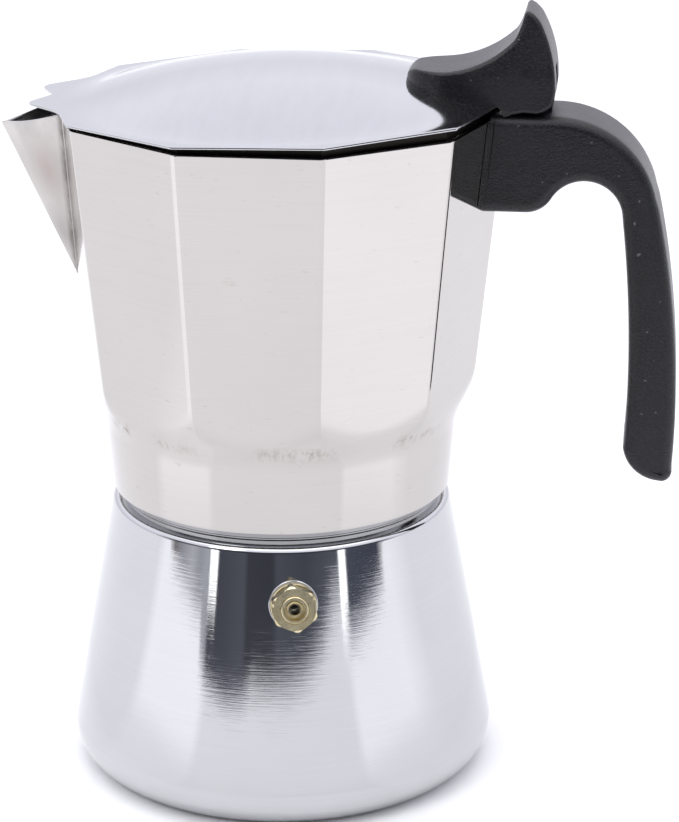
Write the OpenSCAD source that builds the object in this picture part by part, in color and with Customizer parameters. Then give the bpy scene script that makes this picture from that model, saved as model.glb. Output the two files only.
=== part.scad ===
// Stovetop moka pot: boiler with safety valve, coffee funnel, filter, ten-sided jug and hinged lid.
// Origin at the centre of the base on the table, +Z up, handle towards +X, spout towards -X.

/* [Boiler] */
// Largest radius, just above the rounded foot
base_r = 52.5; // [50:0.5:56]
// Radius of the rounded foot
base_round = 9; // [6:0.5:11]
// Height of the shoulder
shoulder_z = 69.2; // [66:0.2:72]
// Radius of the shoulder
shoulder_r = 41.8; // [41.6:0.1:43]
// Thickness of the steel walls
wall = 1; // [0.8:0.1:1.2]

/* [Safety valve] */
// Height of the valve on the wall
valve_z = 56; // [45:1:58]
// Angle of the valve round the boiler, from the middle of the front towards the handle
valve_turn = 11; // [-60:1:60]
// Width of the hexagon across its flats
valve_hex = 10; // [9:0.5:12]
// Radius of the threaded shank
shank_r = 4; // [3.8:0.1:4.4]

/* [Thread and gasket] */
// Height of the boiler's rim
rim_z = 83; // [81:0.5:84]
// Radius inside the neck
neck_bore = 35.9; // [35:0.1:36.2]
// Pitch of the thread
pitch = 3; // [2.5:0.5:3]
// Thickness of the gasket
gasket_t = 2.5; // [2:0.1:2.8]

/* [Funnel] */
// Radius inside the coffee cup
cup_r = 28; // [24:0.5:28]
// Depth of the coffee cup
cup_depth = 24; // [18:1:26]
// Radius of the stem
stem_r = 4.6; // [4:0.1:5.5]

/* [Jug] */
// Number of flat sides
sides = 10; // [10]
// Height of the rim above the table
jug_z = 166.4; // [160:0.2:170]
// Radius to the corners at the rim
jug_r = 54.5; // [54:0.1:55]
// How far the corners lean in for each millimetre down
taper = 0.104; // [0.098:0.002:0.108]
// Radius of the collar's lower lip
lip_r = 41.6; // [41.6:0.1:42]
// Height of the collar's lower lip
lip_z = 72.8; // [72.4:0.1:73]
// Radius at the top of the collar
collar_r = 43.2; // [43:0.1:43.6]
// Height at the top of the collar
collar_z = 91.5; // [90:0.5:93]

/* [Lid and handle] */
// Radius to the lid's corners
lid_r = 55.5; // [55.2:0.1:56]
// Height of the dome over the lid's flat edge
dome_h = 8; // [5:0.5:9]
// Slope of the closed lid, down to the spout, in degrees
lid_slope = 1.1; // [0:0.1:1.4]
// Width of the handle
handle_w = 21; // [19:0.5:23]
// Radius of the hinge pin
pin_r = 1.25; // [1:0.05:1.5]

/* [Hidden] */
$fn = 96;
// Clearance left between neighbouring loose pieces
gap = 0.05;
// Clearance between the crests of the two threads
crest_gap = 0.3;
// Metal and plastic colours
steel = [0.78, 0.78, 0.80];
bright_steel = [0.86, 0.86, 0.89];
brass = [0.76, 0.66, 0.42];
black_plastic = [0.16, 0.16, 0.18];
rubber_white = [0.88, 0.87, 0.84];

// Points of an arc about c with radius r, from angle a0 to a1
function arc(c, r, a0, a1, n = 12) =
    [for (i = [0:n]) let (a = a0 + (a1 - a0) * i / n) c + r * [cos(a), sin(a)]];

// The boiler's wall is the common tangent of the foot's round and the shoulder's round
shoulder_round = 1.5;
foot_c = [base_r - base_round, base_round];
shoulder_c = [shoulder_r - shoulder_round, shoulder_z - shoulder_round];
tangent = shoulder_c - foot_c;
wall_tilt = atan2(tangent[1], tangent[0]) - acos((base_round - shoulder_round) / norm(tangent));
function wall_r(z) =
    (foot_c * [cos(wall_tilt), sin(wall_tilt)] + base_round - z * sin(wall_tilt)) / cos(wall_tilt);

neck_r = 39.7;
neck_step_z = shoulder_z + 4.2;
male_crest = 38.4;
male_root = 37.6;
female_crest = male_crest + crest_gap;
female_root = 39.5;
first_ridge = neck_step_z + 2;

flange_t = 0.8;
flange_r = 37.4;
cup_wall = 0.6;
cup_floor_z = rim_z - cup_depth;
cone_h = 9;
stem_bottom = 6;
flange_top = rim_z + gap + flange_t;

plate_r = 28.9;
plate_t = 0.8;
gasket_z = flange_top + gap;
floor_z = gasket_z + gasket_t + gap;
floor_t = 1;

// The jug's outline is a ten-sided taper, cut by a turned collar
chamfer_slope = 1.75;
wide = 60;
function corner_r(z) = jug_r - taper * (jug_z - z);
function collar_r_at(z) = lip_r + (collar_r - lip_r) * (z - lip_z) / (collar_z - lip_z);

spout_tip = [-67.4, 0, 160.2];
spout_half = 16;
spout_root_z = 123;
spout_shift = 1.6;

plate_under = jug_z + gap;
lid_t = 1;
dome_base_r = 49;
dome_sphere = (dome_base_r * dome_base_r + dome_h * dome_h) / (2 * dome_h);
dome_z = lid_t + dome_h - dome_sphere;
// Height of the dome's inside at radius x
function dome_under(x) = dome_z + sqrt(pow(dome_sphere - lid_t, 2) - x * x);
lid_screw_x = [38.5, 45.5];
lid_screw_r = 1.5;
screw_head_r = 2.8;
screw_head_h = 1.3;
screw_end = 7;

hinge = [61, 0, 173];
lug_r = 4;
lug_half = 3;
slot_gap = 0.4;
pin_l = 17;
handle_top = 167;
block_z = 143.8;

// ---- boiler ----

// Outline of the boiler, drawn in by t
function boiler_side(t) = concat(
    arc(foot_c, base_round - t, -90, wall_tilt, 16),
    arc(shoulder_c, shoulder_round - t, wall_tilt, 90, 6));

// Puts children on the boiler's wall, with +X pointing straight out of it
module at_valve() {
    rotate([0, 0, valve_turn - 90])
        translate([wall_r(valve_z), 0, valve_z])
            rotate([0, -wall_tilt, 0])
                children();
}

// A round bar along +X from x0 to x1
module bar(r, x0, x1) {
    translate([x0, 0, 0]) rotate([0, 90, 0]) cylinder(r = r, h = x1 - x0);
}

// Flat boss that the valve is clamped on
boss_r = 6.2;
boss_out = 0.4;
boss_in = -1.6;

module boiler_shell() {
    color(bright_steel) difference() {
        union() {
            rotate_extrude() difference() {
                polygon(concat([[0, 0]], boiler_side(0), [[0, shoulder_z]]));
                polygon(concat([[0, wall]], boiler_side(wall), [[0, shoulder_z - wall]]));
                translate([0, shoulder_z - 2 * wall]) square([neck_bore, 4 * wall]);
            }
            at_valve() bar(boss_r, boss_in, boss_out);
        }
        at_valve() bar(shank_r + 0.1, -5, 3);
    }
}

// Side of a ring thread: ridges from root to crest, starting at height z0
function ridges(root, crest, z0, count) =
    [for (i = [0:count - 1], p = [[root, -0.9], [crest, -0.4], [crest, 0.4], [root, 0.9]])
        [p[0], z0 + i * pitch + p[1]]];

module boiler_neck() {
    color(bright_steel) rotate_extrude() polygon(concat(
        [[neck_bore, shoulder_z], [neck_r, shoulder_z], [neck_r, neck_step_z - 0.5],
         [neck_r - 0.5, neck_step_z], [male_root, neck_step_z]],
        ridges(male_root, male_crest, first_ridge, 3),
        [[male_root, rim_z - 0.4], [male_root - 0.4, rim_z], [neck_bore, rim_z]]));
}

// ---- safety valve ----

seal_t = 0.8;
flange_x = boss_out + seal_t;
hex_x = flange_x + 1;
face_x = hex_x + 3.6;
shank_end = -9;
valve_bore = 2.6;
seat_t = 2;
poppet_x = shank_end + seat_t + gap;
poppet_head = 1.3;
valve_travel = 1.2;
spring_end = 3;

module valve_body() {
    color(brass) at_valve() difference() {
        union() {
            bar(6.25, flange_x, hex_x);
            intersection() {
                translate([hex_x, 0, 0]) rotate([0, 90, 0])
                    cylinder(r = valve_hex / 2 / cos(30), h = face_x - hex_x, $fn = 6);
                translate([face_x - 9.2, 0, 0]) rotate([0, 90, 0]) cylinder(r1 = 11, r2 = 5.1, h = 9.2);
            }
            bar(3.4, face_x, face_x + 0.5);
            bar(shank_r, shank_end, flange_x);
        }
        bar(2.1, face_x + 0.1, face_x + 1);
        bar(1.25, 0, face_x + 1);
        bar(valve_bore, shank_end - 1, spring_end);
    }
}

module valve_seal() {
    color(rubber_white) at_valve() difference() {
        bar(boss_r - 0.1, boss_out, flange_x);
        bar(shank_r, -2, 3);
    }
}

module valve_nut() {
    color(brass) at_valve() difference() {
        translate([boss_in - 3, 0, 0]) rotate([0, 90, 0]) cylinder(r = 12.5 / 2 / cos(30), h = 3, $fn = 6);
        bar(shank_r, boss_in - 4, 3);
    }
}

module valve_seat() {
    color(brass) at_valve() difference() {
        bar(valve_bore, shank_end, shank_end + seat_t);
        bar(1.3, shank_end - 1, shank_end + seat_t + 1);
    }
}

module valve_poppet() {
    color(steel) at_valve() {
        bar(2.2, poppet_x, poppet_x + poppet_head);
        bar(0.9, poppet_x + poppet_head, 1);
    }
}

// A round wire wound as an open coil along +X
module coil(r, wire, x0, x1, turns) {
    steps = 16;
    ring = 8;
    n = turns * steps;
    pts = [for (i = [0:n], k = [0:ring - 1])
        let (a = 360 * i / steps, b = 360 * k / ring, rr = r + wire * cos(b))
        [x0 + (x1 - x0) * i / n + wire * sin(b), rr * cos(a), rr * sin(a)]];
    walls = [for (i = [0:n - 1], k = [0:ring - 1]) let (m = (k + 1) % ring)
        [i * ring + k, i * ring + m, (i + 1) * ring + m, (i + 1) * ring + k]];
    ends = [[for (k = [0:ring - 1]) ring - 1 - k], [for (k = [0:ring - 1]) n * ring + k]];
    polyhedron(pts, concat(walls, ends), convexity = 8);
}

module valve_spring() {
    wire = 0.28;
    color(steel) at_valve()
        coil(1.75, wire, poppet_x + poppet_head + valve_travel + 0.1 + wire, spring_end - wire - gap, 6);
}

// ---- funnel, filter and gasket ----

// Rings of holes of radius r, spaced by step, out to radius reach
module hole_rings(r, step, reach) {
    circle(r = r, $fn = 16);
    for (k = [1:floor(reach / step)], i = [0:6 * k - 1])
        rotate(60 * i / k) translate([k * step, 0]) circle(r = r, $fn = 16);
}

module funnel_cup() {
    cup_out = cup_r + cup_wall;
    top = flange_top;
    color(bright_steel) rotate_extrude() polygon([
        [cup_r, top], [flange_r, top], [flange_r, rim_z + gap], [cup_out, rim_z + gap],
        [cup_out, cup_floor_z], [stem_r, cup_floor_z - cone_h], [stem_r, cup_floor_z - cone_h + 1.2],
        [cup_r - 1.5, cup_floor_z], [cup_r, cup_floor_z + 0.6]]);
}

module funnel_stem() {
    color(bright_steel) difference() {
        translate([0, 0, stem_bottom]) cylinder(r = stem_r, h = cup_floor_z - cone_h + 1 - stem_bottom);
        translate([0, 0, stem_bottom - 1]) cylinder(r = stem_r - 0.8, h = cup_floor_z);
        translate([0, 0, stem_bottom]) rotate([0, 35, 0]) translate([-10, -10, -10]) cube([20, 20, 10]);
    }
}

module funnel_strainer() {
    color(steel) translate([0, 0, cup_floor_z + 0.7]) linear_extrude(0.6) difference() {
        circle(r = cup_r - 0.1);
        hole_rings(0.9, 4.4, 23);
    }
}

module filter_plate() {
    color(steel) translate([0, 0, flange_top + gap]) linear_extrude(plate_t) difference() {
        circle(r = plate_r);
        hole_rings(0.8, 4, 25);
    }
}

module gasket() {
    color(rubber_white) translate([0, 0, gasket_z]) difference() {
        cylinder(r = female_crest - 0.5, h = gasket_t);
        translate([0, 0, -1]) cylinder(r = plate_r + 0.3, h = gasket_t + 2);
    }
}

// ---- jug ----

// The jug's solid outline, drawn in by t
module jug_solid(t) {
    low = lip_z - 2 * t;
    high = jug_z + 2 * t;
    lean = t / cos(180 / sides);
    intersection() {
        translate([0, 0, low])
            cylinder(r1 = corner_r(low) - lean, r2 = corner_r(high) - lean, h = high - low, $fn = sides);
        rotate_extrude() polygon([
            [0, low], [collar_r_at(low) - t, low], [collar_r - t, collar_z],
            [wide - t, collar_z + (wide - collar_r) * chamfer_slope], [wide - t, jug_z + 9], [0, jug_z + 9]]);
    }
}

// The ten-sided taper without the collar, grown by t
module taper_solid(t) {
    translate([0, 0, lip_z]) cylinder(r1 = corner_r(lip_z) + t, r2 = corner_r(jug_z + 9) + t,
        h = jug_z + 9 - lip_z, $fn = sides);
}

// The wedge that the spout's two walls enclose
module spout_wedge() {
    side_x = -(jug_r - spout_half * (1 - cos(360 / sides)) / sin(360 / sides));
    points = [spout_tip, [side_x, -spout_half, jug_z], [side_x, spout_half, jug_z],
        [-corner_r(spout_root_z), 0, spout_root_z]];
    polyhedron(points, [[0, 2, 1], [0, 1, 3], [0, 3, 2], [1, 2, 3]]);
}

// Everything that the spout's walls leave open
module spout_mouth() {
    for (rise = [0, 1.5, 3]) translate([spout_shift, 0, rise]) spout_wedge();
}

module jug_body() {
    color(steel) difference() {
        jug_solid(0);
        jug_solid(wall);
        spout_mouth();
    }
}

module spout() {
    color(steel) difference() {
        spout_wedge();
        spout_mouth();
        taper_solid(0);
    }
}

module thread_ring() {
    low = lip_z + 1.6;
    out_r = collar_r_at(low) - wall - 0.1;
    color(bright_steel) rotate_extrude() polygon(concat(
        [[out_r, floor_z], [out_r, low], [female_root, low]],
        ridges(female_root, female_crest, first_ridge + pitch / 2, 2),
        [[female_root, rim_z - 0.4], [female_crest, rim_z + 0.4], [female_crest, floor_z]]));
}

column_base_r = 11;
column_r = 6;
column_wall = 0.8;
column_top = 150;
column_taper = 0.031;
function column_out(z) = column_r + column_taper * (column_top - z);

module jug_floor() {
    color(steel) translate([0, 0, floor_z]) difference() {
        cylinder(r = collar_r_at(floor_z) - wall - 0.05, h = floor_t);
        translate([0, 0, -1]) cylinder(r = 9, h = 3);
    }
}

module column() {
    foot = floor_z + floor_t;
    side = [[column_base_r, foot + 1], [column_out(foot + 11), foot + 11], [column_r, column_top]];
    inner = [for (i = [2:-1:0]) side[i] - [column_wall, 0]];
    color(bright_steel) rotate_extrude() polygon(concat([[column_base_r, foot]], side, inner,
        [[column_base_r - column_wall, foot]]));
}

module column_cap() {
    cap_r = column_r + 1;
    skirt_z = column_top - 6;
    color(bright_steel) difference() {
        rotate_extrude() polygon([[column_out(skirt_z) + gap, skirt_z], [cap_r, skirt_z],
            [cap_r, column_top + 4], [1, column_top + 8], [0, column_top + 8],
            [0, column_top + 7], [column_r - 0.2, column_top + 3.4], [column_r + gap, column_top]]);
        for (a = [0:90:270]) rotate([0, 0, a + 45]) translate([0, 0, column_top + 1.9])
            rotate([0, 90, 0]) cylinder(r = 1.6, h = 12);
    }
}

// ---- handle ----

notch_c = [73.2, 142.7];
notch_r = 9;
heel_r = 7;
heel_c = notch_c + [-sqrt(pow(notch_r + heel_r, 2) - pow(block_z + heel_r - notch_c[1], 2)),
    block_z + heel_r - notch_c[1]];
heel_a = atan2(notch_c[1] - heel_c[1], notch_c[0] - heel_c[0]);
brow_r = 24.5;
brow_c = [66, handle_top - brow_r];
back_r = 230;
back_c = [96.3 - back_r, 95];
toe_c = [93.4, 80.4];
toe_r = 2.6;
tip_c = [93.4, 87.3];
tip_r = 9.4;
inner_r = 304;
inner_c = [84.7 - inner_r, 104];

// Side view of the handle, in X and Z
handle_side = concat(
    [[44, handle_top]],
    arc(brow_c, brow_r, 90, 13),
    arc(back_c, back_r, 13, -3.6),
    arc(toe_c, toe_r, 0, -85, 5),
    arc(tip_c, tip_r, -97, -172),
    arc(inner_c, inner_r, -3.2, 7.1, 8),
    arc(notch_c, notch_r, 5, 180 + heel_a, 12),
    arc(heel_c, heel_r, heel_a, -90, 6),
    [[44, block_z]]);

// Puts a side view drawn in X and Z into place, w wide
module side_plate(w) {
    rotate([90, 0, 0]) translate([0, 0, -w / 2]) linear_extrude(w) children();
}

// Steel bracket: a foot on the corner, a web and a tab with the screw hole
module bracket_shape() {
    intersection() {
        difference() {
            taper_solid(1.2);
            taper_solid(0);
        }
        translate([40, -7, 148]) cube([30, 14, 15]);
    }
    difference() {
        union() {
            translate([45, -1.2, 151]) cube([18, 2.4, 11]);
            translate([45, -5, 150]) cube([18, 10, 2]);
        }
        taper_solid(0.6);
    }
}

screw_x = 58.5;
screw_top = 157;

module handle_bracket() {
    color(steel) difference() {
        bracket_shape();
        translate([screw_x, 0, 140]) cylinder(r = 1.8, h = 30);
    }
}

module handle_screw() {
    color(bright_steel) difference() {
        union() {
            translate([screw_x, 0, block_z + 0.6]) cylinder(r = 3.4, h = 2.2);
            translate([screw_x, 0, block_z + 2]) cylinder(r = 1.8, h = screw_top - block_z - 2);
        }
        translate([screw_x - 3, -0.5, block_z]) cube([6, 1, 1.6]);
        translate([screw_x - 0.5, -3, block_z]) cube([1, 6, 1.6]);
    }
}

module handle() {
    color(black_plastic) difference() {
        union() {
            side_plate(handle_w) polygon(handle_side);
            side_plate(2 * lug_half) {
                translate([hinge[0], hinge[2]]) circle(r = lug_r);
                translate([hinge[0] - lug_r, handle_top - 2]) square([lug_r + 3, hinge[2] - handle_top + 2]);
            }
        }
        taper_solid(0);
        bracket_shape();
        translate([screw_x, 0, block_z - 1]) cylinder(r = 3.4, h = 3.8);
        translate([screw_x, 0, block_z]) cylinder(r = 1.8, h = screw_top - block_z);
        translate(hinge) rotate([90, 0, 0]) cylinder(r = pin_r + gap, h = 20, center = true);
    }
}

// ---- lid ----

// Tilts children with the closed lid; the plate's underside is at z = 0
module lid_frame() {
    translate([-lid_r, 0, plate_under]) rotate([0, -lid_slope, 0]) translate([lid_r, 0, 0]) children();
}

ear_tip = [58.3, 8.4];
ear_root_y = 18.5;

module lid_outline() {
    root_x = lid_r - ear_root_y * (1 - cos(360 / sides)) / sin(360 / sides);
    circle(r = lid_r, $fn = sides);
    for (s = [-1, 1])
        polygon([[-root_x + 1, s * ear_root_y], [-ear_tip[0], s * ear_tip[1]], [-lid_r, 0], [-45, 0]]);
}

module dome() {
    intersection() {
        translate([0, 0, dome_z]) sphere(r = dome_sphere);
        cylinder(r = dome_base_r, h = 30);
    }
}

module lid() {
    color(bright_steel) lid_frame() difference() {
        union() {
            linear_extrude(lid_t) lid_outline();
            dome();
        }
        translate([0, 0, dome_z]) sphere(r = dome_sphere - lid_t);
        for (x = lid_screw_x) translate([x, 0, -5]) cylinder(r = lid_screw_r, h = 20);
    }
}

skirt_r = 52.4;
skirt_h = 2.6;

module lid_skirt() {
    color(steel) lid_frame() translate([0, 0, -skirt_h]) linear_extrude(skirt_h) difference() {
        circle(r = skirt_r, $fn = sides);
        circle(r = skirt_r - 1, $fn = sides);
        translate([-60, -18]) square([20, 36]);
    }
}

saddle_c = [38, 202];
saddle_r = 25;
fin_c = [33.4, 173.6];
fin_r = 31.8;

// Side view of the thumb piece, in X and Z
thumb_side = concat(
    [[30.6, 166], [30.6, 173]],
    arc([33.6, 174], 3, 180, 95, 5),
    arc(saddle_c, saddle_r, -90, -29, 14),
    arc([59.2, 190.4], 0.9, 150, 40, 4),
    arc(fin_c, fin_r, 31, -3, 10),
    arc([hinge[0], hinge[2]], 5.3, -32, -95, 5),
    [[57.5, 168.2], [51, 168.4], [51, 166]]);

module thumb_piece() {
    tip_w = 15;
    fin_w = handle_w;
    color(black_plastic) difference() {
        intersection() {
            side_plate(40) polygon(thumb_side);
            linear_extrude(200) {
                translate([30.6 + fin_w / 2, 0]) circle(r = fin_w / 2);
                translate([30.6 + fin_w / 2, -fin_w / 2]) square([40, fin_w]);
            }
            rotate([90, 0, 90]) linear_extrude(100)
                polygon([[-fin_w / 2, 160], [fin_w / 2, 160], [fin_w / 2, 177], [tip_w / 2, 192],
                    [-tip_w / 2, 192], [-fin_w / 2, 177]]);
        }
        lid_frame() {
            translate([0, 0, -9]) linear_extrude(9 + lid_t) lid_outline();
            dome();
            for (x = lid_screw_x) translate([x, 0, -5]) cylinder(r = lid_screw_r, h = screw_end + 5);
        }
        side_plate(2 * (lug_half + slot_gap)) translate([hinge[0], hinge[2]]) {
            slot_r = lug_r + 0.6;
            circle(r = slot_r);
            translate([-slot_r, -10]) square([slot_r + 10, 10]);
            translate([0, -1]) square([10, slot_r + 1]);
        }
        translate(hinge) rotate([90, 0, 0]) cylinder(r = pin_r, h = pin_l, center = true);
    }
}

module lid_screws() {
    color(bright_steel) lid_frame() for (x = lid_screw_x) {
        head_z = dome_under(x + screw_head_r) - screw_head_h;
        translate([x, 0, head_z]) cylinder(r = screw_head_r, h = screw_head_h);
        translate([x, 0, head_z]) cylinder(r = lid_screw_r, h = screw_end - head_z);
    }
}

module hinge_pin() {
    color(bright_steel) translate(hinge) rotate([90, 0, 0])
        cylinder(r = pin_r, h = pin_l, center = true);
}

boiler_shell();
boiler_neck();
valve_body();
valve_seal();
valve_nut();
valve_seat();
valve_poppet();
valve_spring();
funnel_cup();
funnel_stem();
funnel_strainer();
filter_plate();
gasket();
jug_body();
spout();
thread_ring();
jug_floor();
column();
column_cap();
handle_bracket();
handle();
handle_screw();
lid();
lid_skirt();
thumb_piece();
lid_screws();
hinge_pin();
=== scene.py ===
import math

import bmesh
import bpy
from mathutils import Matrix, Vector


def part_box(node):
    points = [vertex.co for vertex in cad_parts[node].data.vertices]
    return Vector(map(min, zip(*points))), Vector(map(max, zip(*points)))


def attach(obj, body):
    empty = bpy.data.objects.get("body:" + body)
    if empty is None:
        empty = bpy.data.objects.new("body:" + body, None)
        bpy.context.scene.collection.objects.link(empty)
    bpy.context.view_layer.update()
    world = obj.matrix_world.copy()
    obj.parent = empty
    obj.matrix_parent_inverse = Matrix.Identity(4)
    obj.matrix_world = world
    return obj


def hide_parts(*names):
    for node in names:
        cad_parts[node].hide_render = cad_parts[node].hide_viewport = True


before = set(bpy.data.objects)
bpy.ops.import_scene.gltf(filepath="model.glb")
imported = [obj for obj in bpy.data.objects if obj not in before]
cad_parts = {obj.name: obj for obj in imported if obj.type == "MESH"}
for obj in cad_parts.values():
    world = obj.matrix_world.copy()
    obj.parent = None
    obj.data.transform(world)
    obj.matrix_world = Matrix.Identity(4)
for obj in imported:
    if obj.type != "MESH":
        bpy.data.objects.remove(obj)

# The stovetop moka pot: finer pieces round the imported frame, materials, studio light and camera.
# Shapes are worked out in millimetres and turned into metres as each mesh is made.
MM = 0.001
X, Y, Z = 0, 1, 2
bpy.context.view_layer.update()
scene = bpy.context.scene


def low(node, axis):
    """Lowest coordinate of a CAD node at rest, in millimetres."""
    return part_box(node)[0][axis] / MM


def high(node, axis):
    """Highest coordinate of a CAD node at rest, in millimetres."""
    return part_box(node)[1][axis] / MM


# ---- driving dimensions, in millimetres ----

# Boiler. WALL is the thickness of its steel and of the jug's
WALL = 1.0
BASE_R = high("boiler_shell", X)
BASE_ROUND = 9.0
SHOULDER_Z = high("boiler_shell", Z)
SHOULDER_R = 41.8
SHOULDER_ROUND = 1.5
NECK_R = high("boiler_neck", X)
NECK_BORE = 35.9
RIM_Z = high("boiler_neck", Z)
PITCH = 3.0
MALE_ROOT, MALE_CREST = 37.6, 38.4
FEMALE_ROOT, FEMALE_CREST = 39.5, 38.7
# The neck narrows to its thread here
THREAD_Z = SHOULDER_Z + 4.2

# Jug. TAPER is how fast the radius to its corners grows with height, and its rim is a little lower
# than in the CAD, so that a gap shows under the lid
SIDES = 10
HALF_SIDE = math.pi / SIDES
JUG_R = high("jug_body", X)
JUG_Z = high("jug_body", Z) - 0.3
TAPER = 0.104
LIP_Z = low("jug_body", Z)
LIP_R = 41.6
# The turned collar ends at COLLAR_Z. Above it a chamfer opens out to the flat sides
COLLAR_R, COLLAR_Z = 43.2, 91.5
CHAMFER_SLOPE = 1.75

SPOUT_TIP_X = low("spout", X)
SPOUT_TIP_Z = 160.2
SPOUT_ROOT_Z = low("spout", Z)
SPOUT_HALF = high("spout", Y)

# Lid. LID_R is the radius to its corners, LID_T the height of its top face over its underside in the
# CAD, and LID_SHEET the thickness of the sheet drawn here
LID_R = 55.5
LID_T = 1.0
LID_SHEET = 0.55
LID_UNDER = JUG_Z + 0.35
LID_SLOPE = math.radians(1.1)
DOME_R, DOME_H = 49.0, 8.0

# Handle. HINGE is the hinge pin's place in X and Z
HANDLE_HALF = high("handle", Y)
HINGE = (61.0, 173.0)
LUG_R, LUG_HALF = 4.0, 3.0

# Safety valve. It points 11 degrees to the right of -Y, and its hexagon is turned by VALVE_SPIN
VALVE_Z = 56.0
VALVE_TURN = math.radians(11 - 90)
VALVE_HEX = 10.0
VALVE_SPIN = math.radians(-8)


def steps(start, end, count):
    """count + 1 even numbers from start to end."""
    return [start + (end - start) * i / count for i in range(count + 1)]


def arc(centre, radius, start, end, count=12):
    """Points of an arc in a plane; the angles are in degrees."""
    angles = [math.radians(a) for a in steps(start, end, count)]
    return [(centre[0] + radius * math.cos(a), centre[1] + radius * math.sin(a)) for a in angles]


def about(turn, radius, z):
    """The point at a direction about +Z, a radius and a height."""
    return Vector((radius * math.cos(turn), radius * math.sin(turn), z))


def corner_r(z):
    """Radius of the jug's outline to its sharp corners at a height."""
    return JUG_R - TAPER * (JUG_Z - z)


def soft_min(a, b, width):
    """The smaller of two numbers, blended where they are less than width apart."""
    near = max(width - abs(a - b), 0.0)
    return min(a, b) - near * near / (4 * width)


def soft_max(a, b, width):
    """The larger of two numbers, blended in the same way."""
    return -soft_min(-a, -b, width)


# ---- meshes ----

class Shape:
    """Points and faces in millimetres, gathered from grids and turned into one mesh."""

    def __init__(self):
        self.points = []
        self.faces = []

    def grid(self, rows, wrap_rows=False, wrap_columns=False):
        """Rows of points joined by quads. A row or column that shrinks to a point is welded later."""
        first = len(self.points)
        wide = len(rows[0])
        for row in rows:
            self.points.extend(tuple(p) for p in row)
        for i in range(len(rows) if wrap_rows else len(rows) - 1):
            for j in range(wide if wrap_columns else wide - 1):
                a, b = first + i * wide, first + (i + 1) % len(rows) * wide
                k = (j + 1) % wide
                self.faces.append((a + j, a + k, b + k, b + j))
        return self

    def cap(self, row):
        """One face that closes the end of a grid."""
        first = len(self.points)
        self.points.extend(tuple(p) for p in row)
        self.faces.append(tuple(range(first, first + len(row))))

    def bar(self, rows):
        """A bar swept along rows of section points, with both ends closed."""
        self.grid(rows, wrap_columns=True)
        self.cap(rows[0])
        self.cap(rows[-1])

    def polar(self, rings, count, place=Matrix()):
        """Rings about +Z, each a height and a function from angle to radius, then put in place.

        The last ring joins the first.
        """
        angles = [2 * math.pi * j / count for j in range(count)]
        rows = [[place @ about(a, radius(a), z) for a in angles] for z, radius in rings]
        return self.grid(rows, wrap_rows=True, wrap_columns=True)

    def lathe(self, profile, count=192, place=Matrix()):
        """A closed profile of radius and height turned about +Z, then put in place."""
        return self.polar([(z, plain(r)) for r, z in profile], count, place)


def plain(radius):
    """A ring of one radius all the way round."""
    return lambda angle: radius


def finish_mesh(mesh, sharp):
    """Welds, drops faces without area, turns normals outwards and marks the sharp edges."""
    edit = bmesh.new()
    edit.from_mesh(mesh)
    bmesh.ops.remove_doubles(edit, verts=edit.verts, dist=0.002 * MM)
    bmesh.ops.dissolve_degenerate(edit, dist=0.001 * MM, edges=edit.edges)
    bmesh.ops.recalc_face_normals(edit, faces=edit.faces)
    edit.to_mesh(mesh)
    edit.free()
    for face in mesh.polygons:
        face.use_smooth = True
    mesh.set_sharp_from_angle(angle=math.radians(sharp))


def mesh_object(name, shape, sharp=32.0):
    """An object in metres. Edges sharper than sharp degrees stay sharp."""
    mesh = bpy.data.meshes.new(name)
    mesh.from_pydata([Vector(p) * MM for p in shape.points], [], shape.faces)
    finish_mesh(mesh, sharp)
    made = bpy.data.objects.new(name, mesh)
    scene.collection.objects.link(made)
    return made


def add_modifiers(made, cutters, thick, bevel):
    for cutter in cutters:
        hole = made.modifiers.new("Cut", "BOOLEAN")
        hole.operation = "DIFFERENCE"
        hole.solver = "EXACT"
        hole.object = cutter
    if thick:
        solid = made.modifiers.new("Wall", "SOLIDIFY")
        solid.thickness = thick * MM
        solid.offset = -1
        solid.use_even_offset = True
    if bevel:
        edge = made.modifiers.new("Edge", "BEVEL")
        edge.width = bevel * MM
        edge.segments = 2
        edge.limit_method = "ANGLE"
        edge.angle_limit = math.radians(50)


def apply_modifiers(made, sharp):
    """Every modifier here adds faces, so a result with fewer is a failed cut and isn't used."""
    ready = made.evaluated_get(bpy.context.evaluated_depsgraph_get())
    mesh = bpy.data.meshes.new_from_object(ready)
    made.modifiers.clear()
    if len(mesh.polygons) > len(made.data.polygons):
        made.data = mesh
        finish_mesh(mesh, sharp)


def join_shape(made, shape, sharp):
    """Adds a shape to a made object's mesh as it is."""
    extra = mesh_object("added", shape, sharp)
    both = bmesh.new()
    both.from_mesh(made.data)
    both.from_mesh(extra.data)
    both.to_mesh(made.data)
    both.free()
    bpy.data.objects.remove(extra)


def piece(name, shape, body, replaced, material, sharp=32.0, thick=0.0, bevel=0.0, cuts=(),
          added=None):
    """Makes one piece. thick turns a sheet into a wall growing inwards; bevel rounds its sharp edges.

    Each shape in cuts is taken out of it, and then the shape in added joins it.
    """
    made = mesh_object(name, shape, sharp)
    cutters = [mesh_object("cutter", cut) for cut in cuts]
    add_modifiers(made, cutters, thick, bevel)
    if len(made.modifiers):
        apply_modifiers(made, sharp)
    for cutter in cutters:
        bpy.data.objects.remove(cutter)
    if added:
        join_shape(made, added, sharp)
    made.data.materials.clear()
    made.data.materials.append(material)
    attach(made, body)
    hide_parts(*replaced)


# ---- materials ----

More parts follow.
